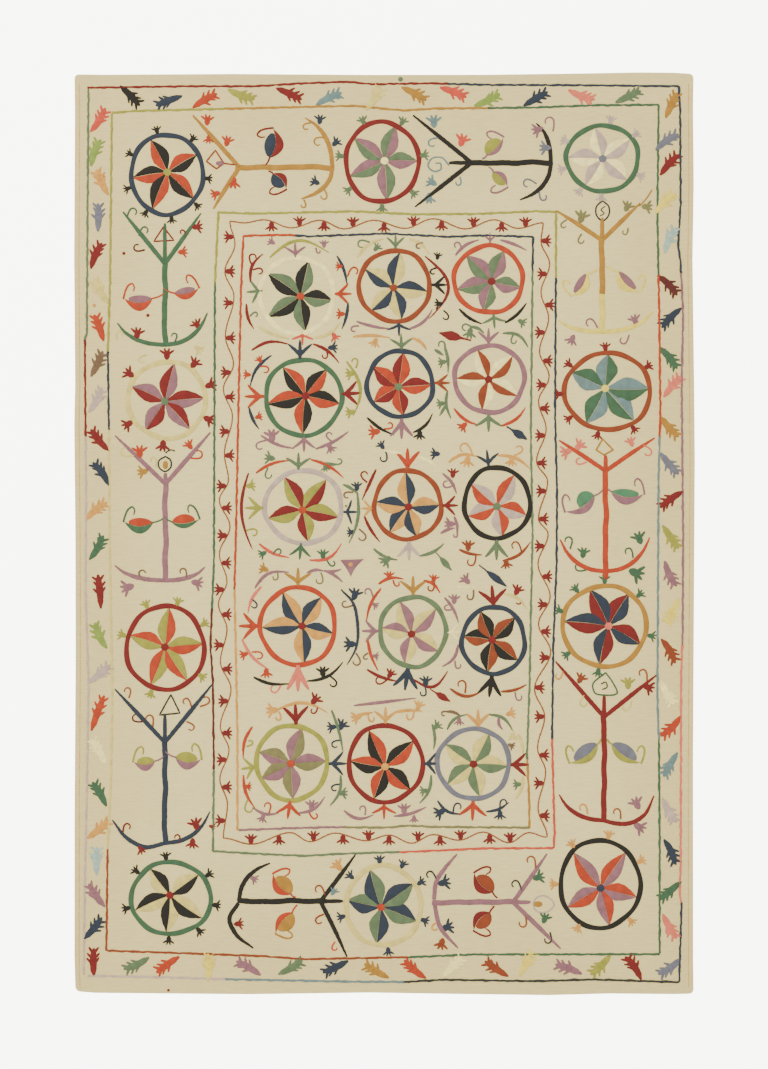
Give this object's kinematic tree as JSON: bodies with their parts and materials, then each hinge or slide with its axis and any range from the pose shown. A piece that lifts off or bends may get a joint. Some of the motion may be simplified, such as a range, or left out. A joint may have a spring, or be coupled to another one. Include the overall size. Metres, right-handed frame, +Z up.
{
  "type": "suzani kilim rug",
  "caption": "Flat-woven wool rug with a turned hem, embroidered with a field of round star flowers inside borders of trees, larger flowers and small sprigs.",
  "frame": {"origin": "under the middle of the rug, on the face that it rests on", "axes": "+Y along the rug's length, towards the top edge of the picture; +Z up, out of the embroidered face"},
  "size_m": [1.241, 1.8447, 0.0029],
  "materials": {
    "ground_wool": "undyed cream wool in a plain flat weave, matt",
    "stitched_wool": "dyed wool yarn in close stitches, soft low sheen"
  },
  "bodies": {
    "root": {"kilim": "ground_wool"}
  },
  "joints": []
}
